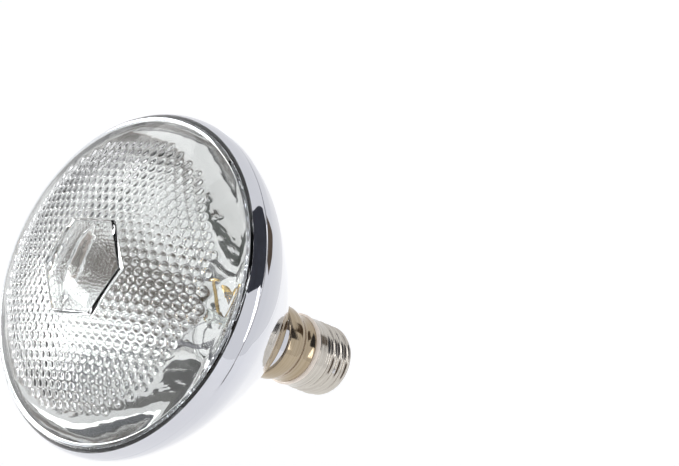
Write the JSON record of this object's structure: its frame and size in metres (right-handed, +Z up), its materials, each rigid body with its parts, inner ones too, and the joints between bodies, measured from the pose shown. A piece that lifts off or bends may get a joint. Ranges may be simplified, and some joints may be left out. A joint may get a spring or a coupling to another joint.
{
  "type": "reflector heat lamp",
  "caption": "Clear pressed-glass reflector infrared heat lamp with a dimpled lens, a mirrored bowl and a screw cap.",
  "frame": {"origin": "on the lamp's axis, at the end face of the cap's centre contact", "axes": "+Y runs along the lamp's axis from the lens to the cap; the lens faces -Y; +Z is up when the axis lies level"},
  "size_m": [0.121, 0.1336, 0.121],
  "materials": {
    "clear_glass": "pressed clear hard glass",
    "silvered_glass": "hard glass, mirrored from inside",
    "mirror_film": "vacuum-coated aluminium",
    "stem_glass": "clear glass",
    "tungsten": "drawn wire",
    "molybdenum": "drawn wire",
    "lead_brass": "plated wire",
    "copper_seal": "copper-clad wire",
    "shield_metal": "plain sheet",
    "nickel_plate": "nickel-plated sheet",
    "cement": "baked cement",
    "ceramic": "glazed ceramic",
    "black_glass": "black insulating glass",
    "contact_brass": "stamped sheet",
    "solder": "tin solder"
  },
  "bodies": {
    "root": {"front_lens": "clear_glass", "reflector_glass": "silvered_glass", "reflector_mirror": "mirror_film", "glass_stem": "stem_glass", "exhaust_tube": "stem_glass", "stem_arbor": "stem_glass", "filament": "tungsten", "filament_supports": "molybdenum", "filament_clamps": "lead_brass", "lead_wire_left": "lead_brass", "lead_wire_right": "lead_brass", "dumet_seals": "copper_seal", "heat_shield": "shield_metal", "base_collar": "nickel_plate", "basing_cement": "cement", "insulating_ring": "ceramic", "screw_shell": "nickel_plate", "side_weld": "solder", "base_insulator": "black_glass", "contact_eyelet": "contact_brass", "centre_solder": "solder", "fuse_sleeve": "stem_glass", "outer_lead_live": "copper_seal", "outer_lead_neutral": "copper_seal"}
  },
  "joints": []
}
